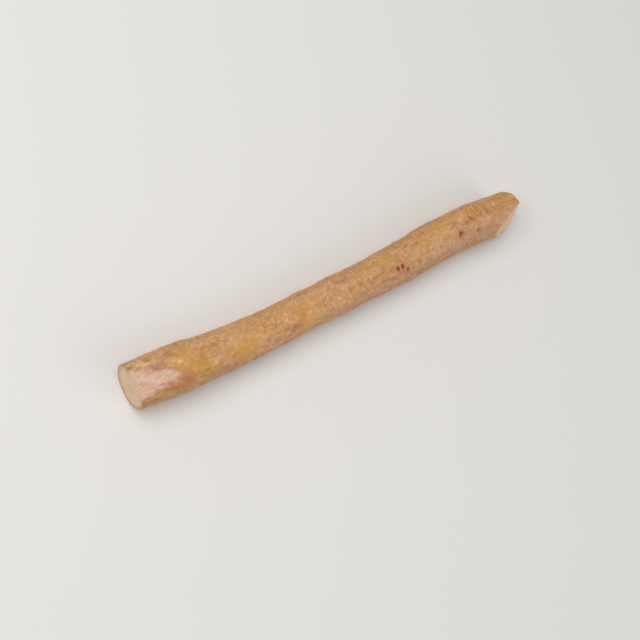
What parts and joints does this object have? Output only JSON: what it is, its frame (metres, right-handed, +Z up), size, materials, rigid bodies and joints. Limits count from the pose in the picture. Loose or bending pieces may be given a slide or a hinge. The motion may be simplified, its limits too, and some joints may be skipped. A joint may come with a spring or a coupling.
{
  "type": "miswak stick",
  "caption": "Miswak stick: a short root tooth stick with its bark on, lying on its side, square cut at the broad end and cut slanting at the tip.",
  "frame": {"origin": "under the middle of the stick's box, on the surface that the stick lies on", "axes": "+X along the stick from the broad butt to the slanting tip, +Y across the stick, +Z up"},
  "size_m": [0.1526, 0.0172, 0.0154],
  "materials": {
    "root": "dry tan bark with pale cut ends, matt"
  },
  "bodies": {
    "root": {"stick": "root"}
  },
  "joints": []
}
